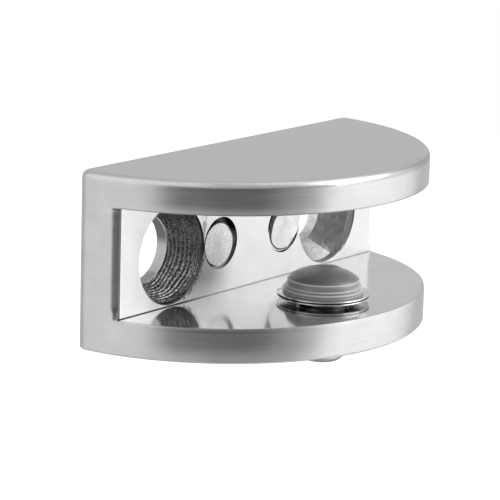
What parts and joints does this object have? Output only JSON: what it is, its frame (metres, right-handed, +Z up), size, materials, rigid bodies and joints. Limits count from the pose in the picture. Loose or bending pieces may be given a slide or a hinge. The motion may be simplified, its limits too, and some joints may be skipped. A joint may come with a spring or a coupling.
{
  "type": "glass panel clamp",
  "caption": "Half-round metal clamp that holds the edge of a glass panel in a slot on a wall, gripped by a swivel pad on a screw through its lower plate.",
  "frame": {"origin": "middle of the fixing-hole line on the wall face", "axes": "+Y into the wall, +Z up, +X to the right as seen from the front"},
  "size_m": [0.0538, 0.027, 0.0253],
  "materials": {
    "satin_nickel_casting": "zinc alloy casting, nickel plated, brushed round its outside, bright inside the slot",
    "plated_screw": "nickel-plated steel, satin",
    "chromed_cup": "polished chrome",
    "soft_grey_cap": "grey soft plastic, slight sheen"
  },
  "bodies": {
    "bracket": {"clamp_body": "satin_nickel_casting"},
    "pad": {"pad_cup": "chromed_cup", "pad_cap": "soft_grey_cap"},
    "screw": {"clamp_screw": "plated_screw"}
  },
  "joints": [
    {"name": "pad_lift", "type": "slide", "parent": "bracket", "child": "pad", "axis": [0, 0, 1], "range_m": [-0.0004, 0.0036]},
    {"name": "screw_turn", "type": "hinge", "parent": "pad", "child": "screw", "pos_m": [0, -0.0173, -0.0064], "axis": [0, 0, 1], "range_deg": [-144, 1296]}
  ],
  "couplings": [
    {"joint": "screw_turn", "follows": "pad_lift", "rad_per_m": 6283.2}
  ]
}
